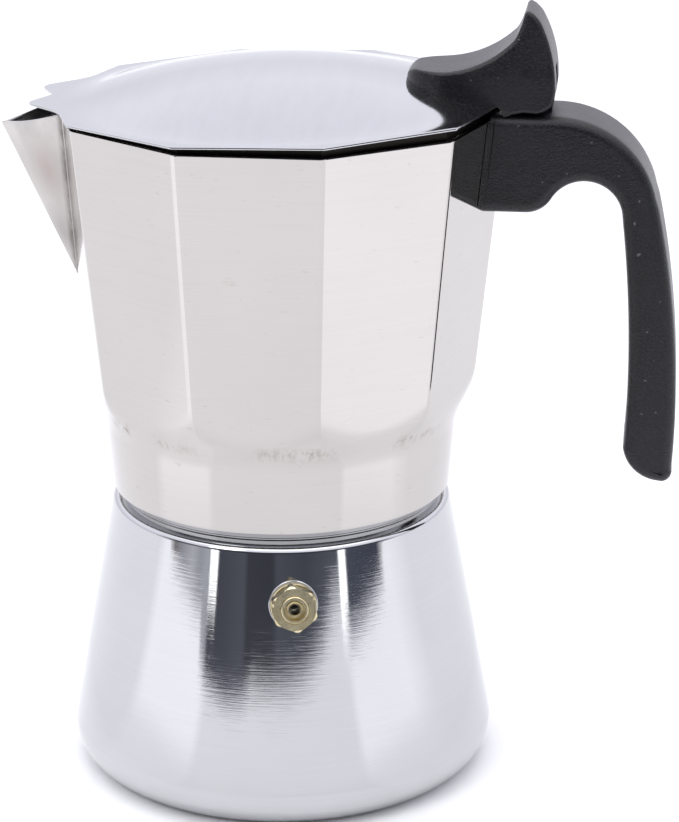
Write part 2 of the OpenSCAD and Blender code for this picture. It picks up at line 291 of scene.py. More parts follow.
class Nodes:
    """Short calls that make and join the nodes of one tree."""

    def __init__(self, tree):
        self.tree = tree

    def node(self, kind, **settings):
        made = self.tree.nodes.new(kind)
        for key, value in settings.items():
            setattr(made, key, value)
        return made

    def feed(self, socket, value):
        if isinstance(value, bpy.types.NodeSocket):
            self.tree.links.new(value, socket)
        else:
            socket.default_value = value

    def split(self, vector):
        made = self.node("ShaderNodeSeparateXYZ")
        self.feed(made.inputs[0], vector)
        return made.outputs["X"], made.outputs["Y"], made.outputs["Z"]

    def span(self, value, start, end, to_start=0.0, to_end=1.0):
        """Carries the stretch from start to end over to another one and stops at its ends."""
        made = self.node("ShaderNodeMapRange")
        self.feed(made.inputs["Value"], value)
        for key, number in zip(("From Min", "From Max", "To Min", "To Max"), (start, end, to_start, to_end)):
            made.inputs[key].default_value = number
        return made.outputs["Result"]

    def between(self, value, start, full, fading, end):
        """0 at start, 1 from full to fading and 0 again at end."""
        return self.math("MULTIPLY", self.span(value, start, full), self.span(value, fading, end, 1, 0))

    def math(self, operation, a, b=0):
        made = self.node("ShaderNodeMath", operation=operation)
        self.feed(made.inputs[0], a)
        self.feed(made.inputs[1], b)
        return made.outputs["Value"]

    def mix(self, share, a, b):
        made = self.node("ShaderNodeMix", data_type="RGBA")
        self.feed(made.inputs["Factor"], share)
        self.feed(made.inputs["A"], a)
        self.feed(made.inputs["B"], b)
        return made.outputs["Result"]

    def heading(self, vector):
        """Degrees to the right of -Y."""
        x, y, _ = self.split(vector)
        return self.math("MULTIPLY", self.math("ARCTAN2", x, self.math("MULTIPLY", y, -1)), 180 / math.pi)


class Graph(Nodes):
    """A node-based material in the object's own coordinates, in metres."""

    def __init__(self, name):
        self.material = bpy.data.materials.new(name)
        self.material.use_nodes = True
        super().__init__(self.material.node_tree)
        self.shader = self.tree.nodes["Principled BSDF"]
        self.place = self.node("ShaderNodeTexCoord").outputs["Object"]

    def noise(self, scale, detail=3.0, roughness=0.55, offset=(0, 0, 0)):
        """Noise whose cells are 1/scale metres along each axis."""
        stretch = self.node("ShaderNodeMapping")
        self.feed(stretch.inputs["Vector"], self.place)
        stretch.inputs["Scale"].default_value = scale
        stretch.inputs["Location"].default_value = offset
        made = self.node("ShaderNodeTexNoise")
        self.feed(made.inputs["Vector"], stretch.outputs["Vector"])
        made.inputs["Scale"].default_value = 1.0
        made.inputs["Detail"].default_value = detail
        made.inputs["Roughness"].default_value = roughness
        return made.outputs["Fac"]

    def distance(self, centre=(0, 0, 0)):
        """Metres from a point given in millimetres."""
        away = self.node("ShaderNodeVectorMath", operation="DISTANCE")
        self.feed(away.inputs[0], self.place)
        away.inputs[1].default_value = Vector(centre) * MM
        return away.outputs["Value"]

    def near(self, centre, reach):
        """1 at a point given in millimetres, falling to 0 at reach."""
        return self.span(self.distance(centre), 0.0, reach * MM, 1.0, 0.0)

    def bump(self, height, depth, below=None):
        """Relief of depth millimetres."""
        made = self.node("ShaderNodeBump")
        made.inputs["Strength"].default_value = 1.0
        made.inputs["Distance"].default_value = depth * MM
        self.feed(made.inputs["Height"], height)
        if below is not None:
            self.feed(made.inputs["Normal"], below)
        return made.outputs["Normal"]

    def set(self, **inputs):
        for key, value in inputs.items():
            self.feed(self.shader.inputs[key.replace("_", " ")], value)
        return self.material


def grey(level, tint=(1.0, 1.0, 1.0)):
    return (level * tint[0], level * tint[1], level * tint[2], 1.0)


def even_noise(cells):
    return (cells, cells, cells)


WARM = (1.0, 0.962, 0.922)
COOL = (0.975, 0.980, 1.0)
BROWN = (1.0, 0.90, 0.78)
STAIN = (0.36, 0.31, 0.27, 1)
SCORCH = (0.27, 0.22, 0.18, 1)
HEAT_TINT = (0.30, 0.235, 0.205, 1)
SMOKE = (0.20, 0.18, 0.17, 1)
SOOT = (0.12, 0.105, 0.095, 1)
PALE_SPECK = (0.45, 0.42, 0.40, 1)
DUST = (0.22, 0.22, 0.22, 1)


def steel(name, level, tint, roughness, lines, line_depth, wave_depth, stain=0.0, ring=None):
    """Polished steel with brushed lines. lines is the noise scale, small along the lines.

    stain is how strong its brown specks are. ring is the height in millimetres of a band of short
    brown marks left by the turning tool.
    """
    g = Graph(name)
    brushed = g.noise(lines, detail=4.0, roughness=0.6)
    fine = g.noise(tuple(3.1 * s for s in lines), detail=2.0, offset=(3, 5, 7))
    cloud = g.noise(even_noise(38), detail=4.0, offset=(11, 2, 4))
    wave = g.noise((46, 46, 30), detail=1.0, offset=(1, 8, 2))
    tone = g.math("ADD", g.math("MULTIPLY", brushed, 0.55), g.math("MULTIPLY", cloud, 0.45))
    colour = g.mix(g.span(tone, 0.35, 0.65), grey(level * 0.965, tint), grey(level * 1.02, tint))
    if stain:
        speck = g.span(g.noise((300, 300, 900), detail=5.0), 0.66, 0.74, 0.0, stain)
        colour = g.mix(speck, colour, STAIN)
    if ring:
        height = g.split(g.place)[Z]
        band = g.between(height, (ring - 2.4) * MM, ring * MM, ring * MM, (ring + 2.2) * MM)
        marks = g.span(g.noise((900, 900, 90), detail=5.0, roughness=0.7), 0.46, 0.60)
        patches = g.span(g.noise(even_noise(45), detail=2.0, offset=(9, 1, 6)), 0.44, 0.58, 0.0, 0.9)
        marked = g.math("MULTIPLY", g.math("MULTIPLY", band, marks), patches)
        colour = g.mix(marked, colour, SCORCH)
    worn = g.math("ADD", cloud, g.math("MULTIPLY", fine, 0.5))
    gloss = g.span(worn, 0.55, 0.95, roughness * 0.8, roughness * 1.35)
    relief = g.bump(brushed, line_depth, g.bump(fine, line_depth * 0.4, g.bump(wave, wave_depth)))
    return g.set(Base_Color=colour, Metallic=1.0, Roughness=gloss, Normal=relief)


def plastic(name):
    """Black moulded plastic with a fine grain whose lighter flecks are painted glints, and a few pale specks
    of dust.
    """
    g = Graph(name)
    grain = g.noise(even_noise(2600), detail=1.0, roughness=0.6)
    cloud = g.noise(even_noise(60), detail=3.0)
    base = g.mix(g.span(cloud, 0.35, 0.65), (0.0030, 0.0030, 0.0042, 1), (0.0060, 0.0060, 0.0078, 1))
    # Lighter flecks in the grain: part real grain, part painted glints.
    grain_and_glints = g.mix(g.span(grain, 0.42, 0.68, 0.0, 0.8), base, (0.017, 0.017, 0.020, 1))
    specks = g.noise(even_noise(900), detail=0.0, offset=(4, 4, 9))
    colour = g.mix(g.span(specks, 0.84, 0.87, 0.0, 0.45), grain_and_glints, DUST)
    gloss = g.span(cloud, 0.3, 0.7, 0.29, 0.37)
    return g.set(Base_Color=colour, Roughness=gloss, Specular_IOR_Level=0.42, Normal=g.bump(grain, 0.14))


def brass(name):
    """Turned brass, a little uneven in colour and gloss."""
    g = Graph(name)
    turned = g.noise(even_noise(900), detail=3.0)
    cloud = g.noise(even_noise(160), detail=3.0, offset=(2, 2, 2))
    colour = g.mix(g.span(cloud, 0.3, 0.7), (0.60, 0.51, 0.30, 1), (0.78, 0.70, 0.46, 1))
    gloss = g.span(turned, 0.3, 0.7, 0.18, 0.27)
    return g.set(Base_Color=colour, Metallic=1.0, Roughness=gloss, Normal=g.bump(turned, 0.008))


def rubber(name, dark, light, roughness):
    """Matt soft material, for the gasket and the washer."""
    g = Graph(name)
    cloud = g.noise(even_noise(120), detail=4.0)
    grain = g.noise(even_noise(1500), detail=2.0)
    colour = g.mix(g.span(cloud, 0.3, 0.7), dark, light)
    gloss = g.span(grain, 0.3, 0.7, roughness * 0.9, roughness * 1.1)
    return g.set(Base_Color=colour, Roughness=gloss, Normal=g.bump(grain, 0.01))


def spout_steel(name):
    """Jug steel with the brown heat tint that welding leaves and a sooty line along each joint."""
    g = Graph(name)
    brushed = g.noise((60, 60, 1500), detail=4.0)
    cloud = g.noise((150, 150, 90), detail=5.0, offset=(5, 1, 2))
    speck = g.span(g.noise(even_noise(1300), detail=4.0), 0.60, 0.75, 0.0, 0.35)
    clean = g.mix(g.span(cloud, 0.35, 0.65), grey(0.50, WARM), grey(0.62, WARM))
    cheek = g.math("MULTIPLY", g.near((-56, -10, 149), 13), g.span(cloud, 0.30, 0.62, 0.35, 1.0))
    foot = g.math("MULTIPLY", g.near((-51.5, -3, 134), 9), g.span(cloud, 0.30, 0.60, 0.4, 1.0))
    tinted = g.mix(g.math("MULTIPLY", cheek, 0.8), clean, HEAT_TINT)
    tinted = g.mix(g.math("MULTIPLY", foot, 0.7), tinted, SMOKE)
    colour = g.mix(speck, tinted, PALE_SPECK)
    _, across, height = g.split(g.place)
    slope = SPOUT_HALF / (JUG_Z - SPOUT_ROOT_Z)
    joint = g.math("MULTIPLY", g.math("SUBTRACT", height, SPOUT_ROOT_Z * MM), slope)
    beside = g.math("SUBTRACT", g.math("ABSOLUTE", across), joint)
    weld = g.between(beside, -0.9 * MM, -0.1 * MM, 0.5 * MM, 0.9 * MM)
    smear = g.span(g.noise((500, 500, 150), detail=6.0), 0.36, 0.62, 0.35, 0.9)
    colour = g.mix(g.math("MULTIPLY", weld, smear), colour, SOOT)
    gloss = g.span(cloud, 0.3, 0.7, 0.10, 0.24)
    return g.set(Base_Color=colour, Metallic=1.0, Roughness=gloss, Normal=g.bump(brushed, 0.002))


BOILER = steel("boiler_steel", 0.585, COOL, 0.055, (40, 40, 2600), 0.0045, 0.018)
# The neck's steel is much darker than the boiler's: painted shade for the recess under the jug's collar.
NECK = steel("neck_steel_painted_shade", 0.31, COOL, 0.14, (30, 30, 3200), 0.0015, 0.004)
JUG = steel("jug_steel", 0.575, WARM, 0.040, (22, 22, 2600), 0.0005, 0.005, stain=0.3, ring=93.4)
LID_STEEL = steel("lid_steel", 0.56, COOL, 0.085, (300, 24, 300), 0.0006, 0.006)
INNER = steel("inner_steel", 0.66, WARM, 0.16, (30, 30, 2200), 0.0015, 0.003)
# The lid's skirt is near-black brown steel: painted shade for the gap under the lid.
SKIRT_PAINTED_SHADE = steel("skirt_painted_shade", 0.030, BROWN, 0.35, (30, 30, 900), 0.0010, 0.002)
BRIGHT = steel("bright_steel", 0.72, COOL, 0.12, even_noise(300), 0.0010, 0.002)
# Near-black steel for the valve's poppet and spring: painted shade in the valve's deep bore.
VALVE_BORE_SHADE = steel("valve_bore_painted_shade", 0.05, COOL, 0.40, even_noise(300), 0.0010, 0.002)
BRASS = brass("brass")
SPOUT = spout_steel("spout_steel")
PLASTIC = plastic("black_plastic")
FIBRE = rubber("fibre", (0.30, 0.27, 0.21, 1), (0.42, 0.38, 0.30, 1), 0.8)
SILICONE = rubber("silicone", (0.70, 0.69, 0.65, 1), (0.80, 0.79, 0.75, 1), 0.45)

# ---- boiler ----

FOOT_C = (BASE_R - BASE_ROUND, BASE_ROUND)
SHOULDER_C = (SHOULDER_R - SHOULDER_ROUND, SHOULDER_Z - SHOULDER_ROUND)
REACH = (SHOULDER_C[0] - FOOT_C[0], SHOULDER_C[1] - FOOT_C[1])
WALL_TILT = math.atan2(REACH[1], REACH[0]) - math.acos((BASE_ROUND - SHOULDER_ROUND) / math.hypot(*REACH))


def wall_r(z):
    """Radius of the boiler's straight wall at a height."""
    along = FOOT_C[0] * math.cos(WALL_TILT) + FOOT_C[1] * math.sin(WALL_TILT) + BASE_ROUND
    return (along - z * math.sin(WALL_TILT)) / math.cos(WALL_TILT)


def boiler_side(inset):
    """Outline of the boiler from the foot to the shoulder, drawn in by inset."""
    tilt = math.degrees(WALL_TILT)
    foot = arc(FOOT_C, BASE_ROUND - inset, -90, tilt, 44)
    shoulder = arc(SHOULDER_C, SHOULDER_ROUND - inset, tilt, 90, 14)
    between = steps(0, 1, 20)[1:-1]
    wall = [tuple(foot[-1][k] + (shoulder[0][k] - foot[-1][k]) * t for k in (0, 1)) for t in between]
    return foot + wall + shoulder


# The bottom stands on a narrow ring and is hollow by FOOT_RECESS inside it
FOOT_RING_R = 40.0
FOOT_RECESS = 0.5
BOSS_R = 5.75


def boiler():
    """The boiler's wall, with a low boss that the valve stands on."""
    outside = [(0, FOOT_RECESS), (FOOT_RING_R - 1.5, FOOT_RECESS)]
    outside += arc((FOOT_RING_R - 0.2, 0.9), 0.9, -160, -90, 6) + boiler_side(0)
    inside = [(NECK_BORE, SHOULDER_Z), (NECK_BORE, SHOULDER_Z - WALL)]
    inside += boiler_side(WALL)[::-1] + [(0, WALL)]
    shape = Shape().lathe(outside + inside, 256)
    boss = [(0, -0.8), (BOSS_R, -0.8), (BOSS_R + 0.1, 0.25), (BOSS_R - 0.05, 0.4), (0, 0.4)]
    shape.lathe(boss, 72, VALVE_PLACE)
    piece("boiler_wall", shape, "boiler", ["boiler_shell"], BOILER)


VALVE_OUT = about(VALVE_TURN, math.cos(WALL_TILT), math.sin(WALL_TILT))
VALVE_FOOT = about(VALVE_TURN, wall_r(VALVE_Z), VALVE_Z)
VALVE_PLACE = Matrix.Translation(VALVE_FOOT) @ VALVE_OUT.to_track_quat("Z", "Y").to_matrix().to_4x4()


def thread(root, crest, low_z, high_z, grow):
    """A helical ridge between two heights that fades in and out.

    It starts grow beyond its root, inside the wall that it stands on.
    """
    rows = []
    per_turn = 96
    fade_in = 20
    count = int((high_z - low_z) / PITCH * per_turn)
    for i in range(count + 1):
        top = root + (crest - root) * min(1.0, i / fade_in, (count - i) / fade_in)
        half = [(root + grow, 0.9), (root, 0.86), (top, 0.38)]
        section = [(r, -z) for r, z in half] + half[::-1]
        z = low_z + PITCH * i / per_turn
        rows.append([about(2 * math.pi * i / per_turn, r, z + dz) for r, dz in section])
    return rows


def neck():
    """The threaded ring on the boiler, with one groove turned into it below the thread."""
    groove = NECK_R - 0.25
    profile = [(NECK_BORE, SHOULDER_Z), (NECK_R, SHOULDER_Z), (NECK_R, SHOULDER_Z + 1.2)]
    profile += [(groove, SHOULDER_Z + 1.45), (groove, SHOULDER_Z + 1.75), (NECK_R, SHOULDER_Z + 2.0)]
    profile += arc((NECK_R - 0.5, THREAD_Z - 0.5), 0.5, 0, 90, 4)
    profile += [(MALE_ROOT, THREAD_Z)] + arc((MALE_ROOT - 0.5, RIM_Z - 0.5), 0.5, 0, 90, 4)
    profile += arc((NECK_BORE + 0.3, RIM_Z - 0.3), 0.3, 90, 180, 4)
    shape = Shape().lathe(profile)
    shape.bar(thread(MALE_ROOT, MALE_CREST, THREAD_Z + 1.1, RIM_Z - 1.2, -0.3))
    piece("threaded_neck", shape, "boiler", ["boiler_neck"], NECK)


def hexagon(across, corner=0.35):
    """Radius of a hexagon with rounded corners, as a function of angle."""
    inner = across / 2
    reach = (inner - corner) / math.cos(math.pi / 6)

    def radius(angle):
        turn = (angle + math.pi / 6 + VALVE_SPIN) % (math.pi / 3) - math.pi / 6
        flat = inner / math.cos(turn)
        off = math.pi / 6 - abs(turn)
        bow = corner ** 2 - (reach * math.sin(off)) ** 2
        return min(flat, reach * math.cos(off) + math.sqrt(bow)) if bow > 0 else flat
    return radius


def seal():
    """The fibre washer under the valve's flange."""
    bore, edge = 4.1, 5.6
    profile = [(bore, 0.4), (edge - 0.1, 0.4), (edge, 0.5), (edge, 1.1), (edge - 0.1, 1.2), (bore, 1.2)]
    shape = Shape().lathe(profile, 96, VALVE_PLACE)
    piece("valve_washer", shape, "boiler", ["valve_seal"], FIBRE)


def valve():
    """One closed profile: shank, flange, chamfered hexagon, a low collar, the nozzle and its bore."""
    hexed = hexagon(VALVE_HEX)
    flange, under, face = 1.2, 2.2, 5.8
    shank, shank_foot, bore, chamfer_r = 4.0, -9.0, 1.25, 5.05

    def chamfered(z):
        return lambda angle: min(hexed(angle), chamfer_r + (face - z) * 1.7)
    body = [(shank_foot, 2.6), (shank_foot, shank - 0.3), (shank_foot + 0.3, shank), (flange, shank),
            (flange, 5.3), (flange + 0.15, 5.45), (under - 0.2, 5.45), (under, 5.3), (under, 4.8),
            (under + 0.15, 4.8)]
    front = [(face, 4.9), (face, 3.5), (face - 0.12, 3.45), (face - 0.12, 3.2), (face + 0.35, 3.15),
             (face + 0.5, 3.0), (face + 0.5, 2.5), (face - 0.5, 2.3), (face - 0.5, 2.0),
             (face + 0.15, 1.95), (face + 0.35, 1.75), (face + 0.35, 1.45), (face + 0.1, bore),
             (-4.0, bore), (-4.0, 2.6)]
    rings = [(z, plain(r)) for z, r in body] + [(under + 0.15, hexed)]
    rings += [(z, chamfered(z)) for z in steps(under + 0.2, face, 12)]
    rings += [(z, plain(r)) for z, r in front]
    shape = Shape().polar(rings, 144, VALVE_PLACE)
    piece("safety_valve", shape, "boiler", ["valve_body"], BRASS, sharp=28)


# ---- jug ----

CORNER_ROUND = 2.8


def side_radius(angle, corner):
    """Radius of a ten-sided outline with rounded corners; corner is the radius to its sharp corners."""
    inner = corner * math.cos(HALF_SIDE)
    off = abs((angle + HALF_SIDE) % (2 * HALF_SIDE) - HALF_SIDE)
    reach = (inner - CORNER_ROUND) / math.cos(HALF_SIDE)
    touch = math.atan2(CORNER_ROUND * math.sin(HALF_SIDE), reach + CORNER_ROUND * math.cos(HALF_SIDE))
    if off < touch:
        return reach * math.cos(off) + math.sqrt(CORNER_ROUND ** 2 - (reach * math.sin(off)) ** 2)
    return inner / math.cos(HALF_SIDE - off)


def turned_r(z):
    """Radius of the turned collar, then of the chamfer above it."""
    collar = LIP_R + (COLLAR_R - LIP_R) * (z - LIP_Z) / (COLLAR_Z - LIP_Z)
    chamfer = COLLAR_R + (z - COLLAR_Z) / CHAMFER_SLOPE
    return soft_max(collar, chamfer, 1.6)


def jug_radius(angle, z):
    """Ten flat sides at the top, run together with the round collar at the bottom."""
    return soft_min(side_radius(angle, corner_r(z)), turned_r(z), 2.0)


# The V cut into the jug's wall behind the spout, a little narrower than the spout
NOTCH_HALF = SPOUT_HALF - 0.9
NOTCH_ROOT_Z = SPOUT_ROOT_Z + 2.5


def notch_angle(z):
    """Half the angle that the spout's mouth takes out of the jug's wall at a height."""
    half = NOTCH_HALF * max(z - NOTCH_ROOT_Z, 0.0) / (JUG_Z - NOTCH_ROOT_Z)
    return math.atan2(half, corner_r(z) - half * math.tan(HALF_SIDE))


def jug():
    """One sheet that runs round from one side of the mouth to the other, thickened inwards."""
    side = 2 * HALF_SIDE
    # Directions within one side, close together at its corners
    fine = steps(0, 0.0216, 6) + [0.028, 0.045]
    per_side = fine + steps(0.07, side - 0.07, 20) + [side - f for f in fine[:0:-1]]
    whole_sides = [-math.pi + side + k * side + a for k in range(SIDES - 2) for a in per_side]
    whole_sides.append(math.pi - side)
    shares = [a / side for a in per_side][1:] + [1.0]
    heights = [LIP_Z, LIP_Z + 0.4, LIP_Z + 0.8] + steps(74.5, 88, 6) + steps(88.3, 101, 42)
    heights += steps(102, JUG_Z - 0.6, 30) + [JUG_Z - 0.3, JUG_Z]
    rows = []
    for z in heights:
        end = math.pi - notch_angle(z)
        last = [math.pi - side + (end - math.pi + side) * s for s in shares]
        rows.append([about(a, jug_radius(a, z), z) for a in [-a for a in last[::-1]] + whole_sides + last])
    piece("jug_wall", Shape().grid(rows), "jug", ["jug_body"], JUG, thick=WALL, bevel=0.22)


# How round the spout's keel is, how far its sides bulge, and the laps that are welded to the jug
KEEL_SHARP = 0.07
SPOUT_BELLY = 1.3
SPOUT_LAP = 0.9


def spout_row(t):
    """The V of the spout at a share of the way from its root up to the rim, with its welding laps."""
    side_z = SPOUT_ROOT_Z + (JUG_Z - SPOUT_ROOT_Z) * t
    keel_z = SPOUT_ROOT_Z + (SPOUT_TIP_Z - SPOUT_ROOT_Z) * t
    keel_x = -corner_r(SPOUT_ROOT_Z) + (SPOUT_TIP_X + corner_r(SPOUT_ROOT_Z)) * t
    half = SPOUT_HALF * t
    side_x = -(corner_r(side_z) - half * math.tan(HALF_SIDE)) - 0.15
    row = []
    for u in steps(-1.0, 1.0, 48):
        rounded_off = math.sqrt(u * u + KEEL_SHARP ** 2) - KEEL_SHARP
        away = rounded_off / (math.sqrt(1 + KEEL_SHARP ** 2) - KEEL_SHARP)
        belly = SPOUT_BELLY * t * math.sin(math.pi * away)
        x = keel_x + (side_x - keel_x) * away - belly * 0.6
        row.append((x, half * math.copysign(away, u) + math.copysign(belly * 0.45, u),
                    keel_z + (side_z - keel_z) * away - 0.5 * belly))
    lap = min(SPOUT_LAP, 0.2 + 8 * t)
    edge_x, edge_y = math.sin(HALF_SIDE), math.cos(HALF_SIDE)
    laps = [[(side_x + edge_x * lap * k, side * (half + edge_y * lap * k), side_z) for k in (0.5, 1.0)]
            for side in (-1, 1)]
    return laps[0][::-1] + row + laps[1]


def spout():
    """A rounded V of sheet steel from the corner of the jug out to the tip."""
    shape = Shape().grid([spout_row(t) for t in steps(0.0, 1.0, 40)])
    piece("pouring_spout", shape, "jug", ["spout"], SPOUT, thick=0.8, bevel=0.2)


def thread_ring():
    """The ring inside the jug's collar that screws onto the neck."""
    outer = turned_r(LIP_Z + 1.6) - WALL - 0.1
    top = high("thread_ring", Z)
    base = low("thread_ring", Z)
    profile = [(outer, top), (outer, base), (FEMALE_ROOT, base), (FEMALE_ROOT, RIM_Z - 0.4),
               (FEMALE_CREST, RIM_Z + 0.4), (FEMALE_CREST, top)]
    shape = Shape().lathe(profile)
    shape.bar(thread(FEMALE_ROOT, FEMALE_CREST, THREAD_Z + 2.6, RIM_Z - 1.5, 0.3))
    piece("inner_thread", shape, "jug", ["thread_ring"], INNER)


# ---- lid ----

DOME_BLEND = 1.4
DOME_SPHERE = (DOME_R ** 2 + DOME_H ** 2) / (2 * DOME_H)
# Two ears over the spout with a notch between them
EAR_ROOT_Y = 18.5
EAR_TIP_X, EAR_TIP_Y = -59.4, 9.3
EAR_NOTCH_X = -54.6


def bend(start, middle, end, count):
    """A curve from start to end that aims at middle."""
    a, b, c = (Vector(p) for p in (start, middle, end))
    return [a * (1 - t) ** 2 + b * (2 * t * (1 - t)) + c * t ** 2 for t in steps(0, 1, count)]


def rounded(corners):
    """Outline through corners, each given as x, y and the radius that rounds it."""
    made = []
    count = len(corners)
    for i, (x, y, radius) in enumerate(corners):
        here = Vector((x, y))
        back = Vector(corners[i - 1][:2]) - here
        ahead = Vector(corners[(i + 1) % count][:2]) - here
        half = back.angle(ahead) / 2
        cut = min(radius / math.tan(half), 0.45 * back.length, 0.45 * ahead.length)
        made.extend(bend(here + back.normalized() * cut, here, here + ahead.normalized() * cut, 8))
    return made


def denser(outline, longest):
    """A closed outline with points added so that no step is longer than longest."""
    made = []
    for a, b in zip(outline, outline[1:] + outline[:1]):
        parts = max(1, math.ceil((b - a).length / longest))
        made.extend(a.lerp(b, k / parts) for k in range(parts))
    return made


def dome(x, y):
    """Height of the lid's top face over its own underside."""
    rise = math.sqrt(max(DOME_SPHERE ** 2 - x * x - y * y, 0)) - (DOME_SPHERE - DOME_H)
    return LID_T + soft_max(rise, 0.0, DOME_BLEND)


def lid_top(x, y):
    """Height of the closed lid's top face, close enough for what sits on it."""
    return LID_UNDER + (x + LID_R) * math.tan(LID_SLOPE) + dome(x, y)


def lid_frame():
    """From the lid's own frame, with its underside at height 0, to the closed lid."""
    tip = Matrix.Translation((-LID_R, 0, LID_UNDER))
    return tip @ Matrix.Rotation(-LID_SLOPE, 4, "Y") @ Matrix.Translation((LID_R, 0, 0))


def lid():
    """Nine corners of a ten-sided sheet and, over the spout, two ears with a notch between them."""
    corners = [(*about(2 * HALF_SIDE * k, LID_R, 0).xy, 1.2) for k in range(-4, 5)]
    root = -(LID_R - EAR_ROOT_Y * math.tan(HALF_SIDE))
    ears = [(root, EAR_ROOT_Y, 14.0), (EAR_TIP_X, EAR_TIP_Y, 4.2), (EAR_NOTCH_X, 0.0, 2.2),
            (EAR_TIP_X, -EAR_TIP_Y, 4.2), (root, -EAR_ROOT_Y, 14.0)]
    outline = denser(rounded(corners + ears), 1.6)
    flat_from = 46.0
    place = lid_frame()
    rings = [[p.normalized() * r for p in outline] for r in steps(0.0, flat_from, 46)]
    rings += [[(p.normalized() * flat_from).lerp(p, t) for p in outline] for t in steps(0, 1, 9)[1:]]
    rows = [[place @ Vector((p.x, p.y, dome(p.x, p.y))) for p in ring] for ring in rings]
    piece("lid_dome", Shape().grid(rows, wrap_columns=True), "lid", ["lid"], LID_STEEL,
          thick=LID_SHEET, bevel=0.18)


# ---- handle ----

def offset_outline(outline, inset):
    """A closed outline moved inwards by inset; it runs clockwise seen from -Y."""
    made = []
    count = len(outline)
    for i in range(count):
        ahead = Vector(outline[(i + 1) % count]) - Vector(outline[i - 1])
        normal = Vector((ahead.y, -ahead.x)).normalized()
        made.append(Vector(outline[i]) + normal * inset)
    return made


def rounded_bar(shape, outline, half, radius, limit=None, ladder=0):
    """A side view in X and Z made 2 * half wide, with its edges rounded. limit moves each point.

    The flat sides are single faces, or, with ladder, rungs between the outline's first points up to
    that index and the points on the other side, so that they can be bent.
    """
    def ring(inset, y):
        return [Vector((p.x, -y, p.y)) for p in offset_outline(outline, inset)]
    flat = half - radius
    turns = [math.pi / 2 * k / 7 for k in range(7, -1, -1)]
    stations = [(radius + 0.12, half)]
    stations += [(radius * (1 - math.cos(a)), flat + radius * math.sin(a)) for a in turns]
    stations += [(0.0, flat * k / 4) for k in (3, 2, 1, 0)]
    stations += [(inset, -y) for inset, y in stations[-2::-1]]
    rows = [[limit(p) if limit else p for p in ring(*station)] for station in stations]
    if not ladder:
        shape.bar(rows)
        return
    shape.grid(rows, wrap_columns=True)
    for station in (stations[0], stations[-1]):
        level = ring(*station)
        shape.grid([[limit(level[i].lerp(level[-i], t)) for t in steps(0, 1, 14)] for i in range(ladder + 1)])


HANDLE_TOP = 167.0
BLOCK_Z = low("handle_screw", Z) - 0.6
# The block's side view starts inside the jug and is then cut back to the jug's wall
BLOCK_START_X = 44
EDGE_ROUND = 2.4
SCREW_HOLE_R = 3.4
# The hairline joint: how far it is from the jug's corner, how wide and how deep
SEAM_IN, SEAM_WIDE, SEAM_DEEP = 2.5, 0.28, 0.45

# Arcs of the handle's side view: each centre in X and Z, then the radius
BROW = ((66, 142.5), 24.5)
BACK = ((96.3 - 230, 95), 230)
TOE = ((93.4, 80.4), 2.6)
TIP = ((93.4, 87.3), 9.4)
INSIDE = ((84.7 - 304, 104), 304)
NOTCH = ((73.2, 142.7), 9.0)
HEEL_R = 7.0


def handle_outline():
    """Clockwise from the top of the block at the jug."""
    (notch_x, notch_z), notch_r = NOTCH
    rise = BLOCK_Z + HEEL_R - notch_z
    heel = (notch_x - math.sqrt((notch_r + HEEL_R) ** 2 - rise ** 2), notch_z + rise)
    turn = math.degrees(math.atan2(notch_z - heel[1], notch_x - heel[0]))
    top = [(x, HANDLE_TOP) for x in steps(BLOCK_START_X, BROW[0][0], 8)[:-1]]
    back = arc(*BROW, 90, 13, 26) + arc(*BACK, 13, -3.6, 40)[1:]
    end = arc(*TOE, 0, -85, 8) + arc(*TIP, -97, -172, 14)
    inside = arc(*INSIDE, -3.2, 7.1, 30) + arc(*NOTCH, 5, 180 + turn, 26)
    inside += arc(heel, HEEL_R, turn, -90, 12)[1:]
    bottom = [(x, BLOCK_Z) for x in steps(heel[0], BLOCK_START_X, 6)[1:]]
    return top + back + end + inside + bottom


def block_seam(side):
    """A thin slab that cuts the hairline joint into one side of the handle's block."""
    slab = Shape()
    low_end, high_end = BLOCK_Z - 1, HANDLE_TOP + 1
    around = ((low_end, -1), (low_end, 1), (high_end, 1), (high_end, -1))
    for y in (HANDLE_HALF - SEAM_DEEP, HANDLE_HALF + 1):
        for z, way in around:
            slab.points.append(Vector((corner_r(z) - SEAM_IN + way * SEAM_WIDE / 2, side * y, z)))
    slab.faces = [(0, 1, 2, 3), (7, 6, 5, 4), (0, 4, 5, 1), (1, 5, 6, 2), (2, 6, 7, 3), (3, 7, 4, 0)]
    return slab


def handle():
    """The handle with its screw hole and hairline joints, and the lug that carries the lid's hinge."""
    def against_jug(p):
        # 0.3 inside the face of the jug's wall
        wall = corner_r(p.z) - abs(p.y) * math.tan(HALF_SIDE) - 0.3
        return Vector((max(p.x, wall), p.y, p.z))
    shape, lug = Shape(), Shape()
    rounded_bar(shape, handle_outline(), HANDLE_HALF, EDGE_ROUND, against_jug)
    root_z = HANDLE_TOP - 2
    side_view = [(HINGE[0] - LUG_R, root_z)] + arc(HINGE, LUG_R, 180, 0, 24) + [(HINGE[0] + LUG_R, root_z)]
    rounded_bar(lug, side_view, LUG_HALF, 0.4)
    screw_x = (low("handle_screw", X) + high("handle_screw", X)) / 2
    hole = [(0, -2), (SCREW_HOLE_R, -2), (SCREW_HOLE_R, 2.8), (0, 2.8)]
    screw_hole = Shape().lathe(hole, 64, Matrix.Translation((screw_x, 0, BLOCK_Z)))
    cuts = [screw_hole, block_seam(-1), block_seam(1)]
    piece("grip", shape, "jug", ["handle"], PLASTIC, sharp=35, cuts=cuts, added=lug)


# ---- thumb piece ----

THUMB_ROUND, TIP_ROUND = 0.95, 1.15
NOSE_X = 30.6

